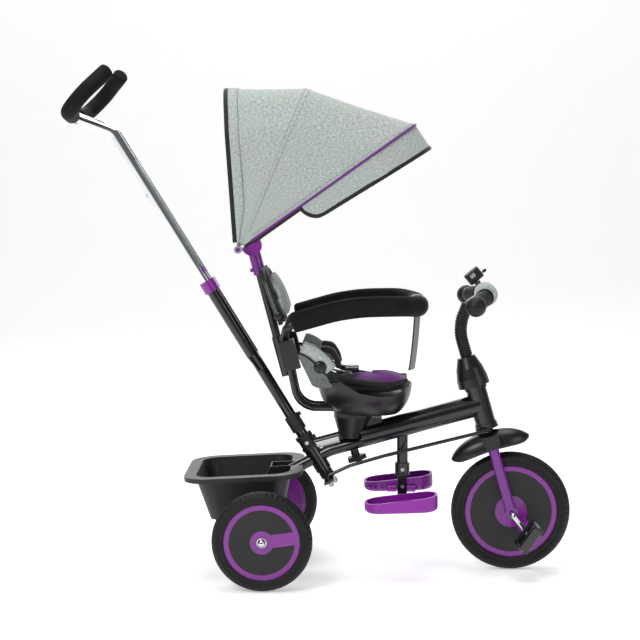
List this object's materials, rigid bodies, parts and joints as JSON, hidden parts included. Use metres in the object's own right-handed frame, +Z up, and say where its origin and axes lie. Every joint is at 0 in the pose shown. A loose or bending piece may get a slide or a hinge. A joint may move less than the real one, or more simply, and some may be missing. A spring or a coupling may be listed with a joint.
{
  "type": "children's push tricycle",
  "caption": "Push tricycle with a folding sun canopy, swivelling bucket seat and guard ring, steering push handle, rear bin, folding footrests and pedals on the front wheel.",
  "frame": {"origin": "on the ground under the middle of the tricycle's length, on its mid-plane", "axes": "+X forward, +Y to the rider's left, +Z up"},
  "size_m": [1.0684, 0.4648, 1.0705],
  "materials": {
    "black_steel": "gloss black powder coat",
    "purple_steel": "gloss purple enamel",
    "bright_steel": "zinc plated",
    "chrome": "polished",
    "black_plastic": "fine moulded grain",
    "gloss_black": "moulded gloss",
    "purple_plastic": "moulded satin",
    "tyre": "moulded foam tyre",
    "black_rubber": "soft matt",
    "black_foam": "closed-cell foam",
    "grey_fabric": "grey melange weave",
    "black_webbing": "woven webbing"
  },
  "bodies": {
    "frame": {"head_tube": "black_steel", "bearing_cups": "black_plastic", "main_tube": "black_steel", "rear_tube": "black_steel", "rear_axle": "bright_steel", "axle_nuts": "chrome", "column_socket": "black_plastic", "frame_bolts": "bright_steel", "footrest_post": "black_steel", "storage_bin": "black_plastic", "seat_pedestal": "black_plastic"},
    "seat_knob": {"seat_knob": "black_plastic"},
    "rear_wheel_left": {"rear_tyre_left": "tyre", "rear_core_left": "purple_plastic", "rear_cover_left": "black_plastic"},
    "rear_wheel_right": {"rear_tyre_right": "tyre", "rear_core_right": "purple_plastic", "rear_cover_right": "black_plastic"},
    "fork": {"fork_crown": "black_plastic", "fork_blades": "purple_steel", "mudguard": "black_plastic", "headset_cover": "black_plastic", "stem_bellows": "black_rubber", "handlebar": "black_steel", "handlebar_grips": "black_rubber", "handlebar_pad": "grey_fabric", "bell_body": "gloss_black"},
    "front_wheel": {"front_tyre": "tyre", "front_core": "purple_plastic", "front_covers": "black_plastic", "crank": "chrome"},
    "pedal_left": {"pedal_left": "gloss_black"},
    "pedal_right": {"pedal_right": "gloss_black"},
    "bell_lever": {"bell_lever": "gloss_black"},
    "push_column": {"push_column": "black_steel", "twin_collar": "purple_plastic", "lock_sleeve": "black_plastic"},
    "push_handle": {"handle_tubes": "chrome", "handle_foam": "black_foam"},
    "height_button": {"height_button": "bright_steel"},
    "steering_rod": {"steering_rod": "black_steel"},
    "seat": {"seat_shell": "black_plastic", "seat_frame": "black_steel", "canopy_post": "black_steel", "seat_liner": "grey_fabric", "backrest_board": "black_plastic", "backrest_pad": "grey_fabric", "harness": "black_webbing", "canopy_hub": "purple_plastic", "canopy_rear_hoop": "bright_steel"},
    "guard_left": {"guard_left": "black_foam"},
    "guard_right": {"guard_right": "black_foam", "crotch_strap": "grey_fabric"},
    "canopy_mid": {"canopy_mid_hoop": "bright_steel", "canopy_rear_panel": "grey_fabric"},
    "canopy_front": {"canopy_front_hoop": "bright_steel", "canopy_front_panel": "grey_fabric", "canopy_visor": "grey_fabric"},
    "footrest_left": {"footrest_left": "purple_plastic"},
    "footrest_right": {"footrest_right": "purple_plastic"}
  },
  "joints": [
    {"name": "steering", "type": "hinge", "parent": "frame", "child": "fork", "pos_m": [0.409, 0, 0.127], "axis": [-0.279, 0, 0.9603], "range_deg": [-30, 30]},
    {"name": "column_turn", "type": "hinge", "parent": "frame", "child": "push_column", "pos_m": [0.034, 0, 0.175], "axis": [-0.524, 0, 0.8517], "range_deg": [-30, 30]},
    {"name": "rod_swing", "type": "hinge", "parent": "push_column", "child": "steering_rod", "pos_m": [0.02142, -0.038, 0.19544], "axis": [-0.524, 0, 0.8517], "range_deg": [-30, 30]},
    {"name": "handle_height", "type": "slide", "parent": "push_column", "child": "push_handle", "axis": [-0.524, 0, 0.8517], "range_m": [-0.14, 0]},
    {"name": "height_button_press", "type": "slide", "parent": "push_handle", "child": "height_button", "axis": [0.8517, 0, 0.524], "range_m": [0, 0.0025], "stiffness_N_per_m": 900, "springref_m": -0.001},
    {"name": "rear_left_spin", "type": "hinge", "parent": "frame", "child": "rear_wheel_left", "pos_m": [-0.113, 0.205, 0.103], "axis": [0, 1, 0], "continuous": true},
    {"name": "rear_right_spin", "type": "hinge", "parent": "frame", "child": "rear_wheel_right", "pos_m": [-0.113, -0.205, 0.103], "axis": [0, 1, 0], "continuous": true},
    {"name": "front_spin", "type": "hinge", "parent": "fork", "child": "front_wheel", "pos_m": [0.409, 0, 0.127], "axis": [0, 1, 0], "continuous": true},
    {"name": "pedal_left_spin", "type": "hinge", "parent": "front_wheel", "child": "pedal_left", "pos_m": [0.37847, 0.095, 0.16339], "axis": [0, 1, 0], "continuous": true},
    {"name": "pedal_right_spin", "type": "hinge", "parent": "front_wheel", "child": "pedal_right", "pos_m": [0.43953, -0.095, 0.09061], "axis": [0, 1, 0], "continuous": true},
    {"name": "bell_press", "type": "hinge", "parent": "fork", "child": "bell_lever", "pos_m": [0.34868, 0.052, 0.6348], "axis": [0, 1, 0], "range_deg": [0, 12], "stiffness_Nm_per_rad": 0.05, "springref_deg": -5.73},
    {"name": "seat_swivel", "type": "hinge", "parent": "frame", "child": "seat", "pos_m": [0.071, 0, 0.342], "axis": [0, 0, 1], "range_deg": [-180, 180]},
    {"name": "knob_turn", "type": "hinge", "parent": "frame", "child": "seat_knob", "pos_m": [0.07931, 0, 0.23791], "axis": [-0.2639, 0, 0.9646], "continuous": true},
    {"name": "guard_left_swing", "type": "hinge", "parent": "seat", "child": "guard_left", "pos_m": [-0.06084, 0.084, 0.47062], "axis": [-0.2554, 0, 0.9668], "range_deg": [0, 45]},
    {"name": "guard_right_swing", "type": "hinge", "parent": "seat", "child": "guard_right", "pos_m": [-0.06084, -0.084, 0.47062], "axis": [0.2554, 0, -0.9668], "range_deg": [0, 45]},
    {"name": "canopy_mid_fold", "type": "hinge", "parent": "seat", "child": "canopy_mid", "pos_m": [-0.162, 0, 0.694], "axis": [0, -1, 0], "range_deg": [0, 22.5], "deforming": ["canopy_rear_panel"]},
    {"name": "canopy_fold", "type": "hinge", "parent": "canopy_mid", "child": "canopy_front", "pos_m": [-0.162, 0, 0.694], "axis": [0, -1, 0], "range_deg": [0, 30], "deforming": ["canopy_front_panel"]},
    {"name": "footrest_left_fold", "type": "hinge", "parent": "frame", "child": "footrest_left", "pos_m": [0.177, 0.073, 0.158], "axis": [1, 0, 0], "range_deg": [0, 80]},
    {"name": "footrest_right_fold", "type": "hinge", "parent": "frame", "child": "footrest_right", "pos_m": [0.177, -0.073, 0.158], "axis": [-1, 0, 0], "range_deg": [0, 80]}
  ],
  "couplings": [
    {"joint": "column_turn", "follows": "steering", "ratio": 1},
    {"joint": "rod_swing", "follows": "steering", "ratio": -1},
    {"joint": "canopy_mid_fold", "follows": "canopy_fold", "ratio": 0.75}
  ]
}
